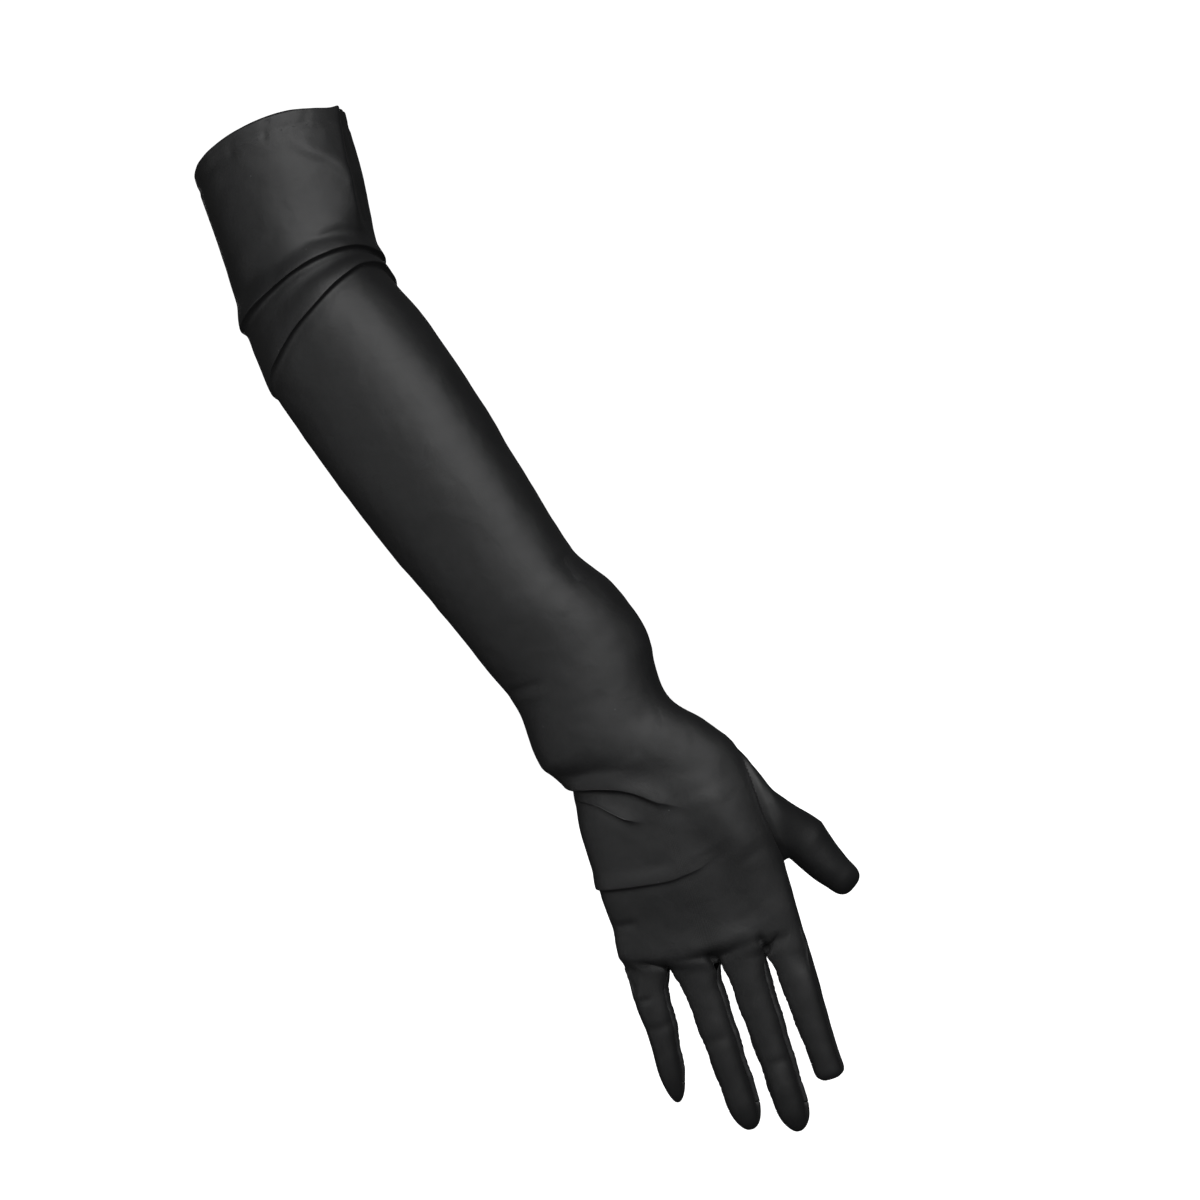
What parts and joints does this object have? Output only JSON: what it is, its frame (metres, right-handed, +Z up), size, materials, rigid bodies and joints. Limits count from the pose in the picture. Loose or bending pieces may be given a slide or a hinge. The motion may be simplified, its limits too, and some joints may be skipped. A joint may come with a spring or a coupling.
{
  "type": "satin opera glove",
  "caption": "Long right-hand opera glove of black stretch satin, hollow, in its worn form, with gathered cloth at the elbow and wrist.",
  "frame": {"origin": "centre of the arm opening, in the plane of its hem", "axes": "+Z up the arm, out of the opening, along the line from the middle fingertip to the opening; +X towards the thumb's side; +Y towards the palm, so that -Y is the back of the hand"},
  "size_m": [0.132, 0.0911, 0.5031],
  "materials": {
    "satin": "black stretch satin, face side out",
    "satin_strip": "the same satin, cut in narrow strips"
  },
  "bodies": {
    "root": {"trank": "satin", "thumb": "satin", "fourchette_little_ring": "satin_strip", "fourchette_ring_middle": "satin_strip", "fourchette_middle_index": "satin_strip"}
  },
  "joints": []
}
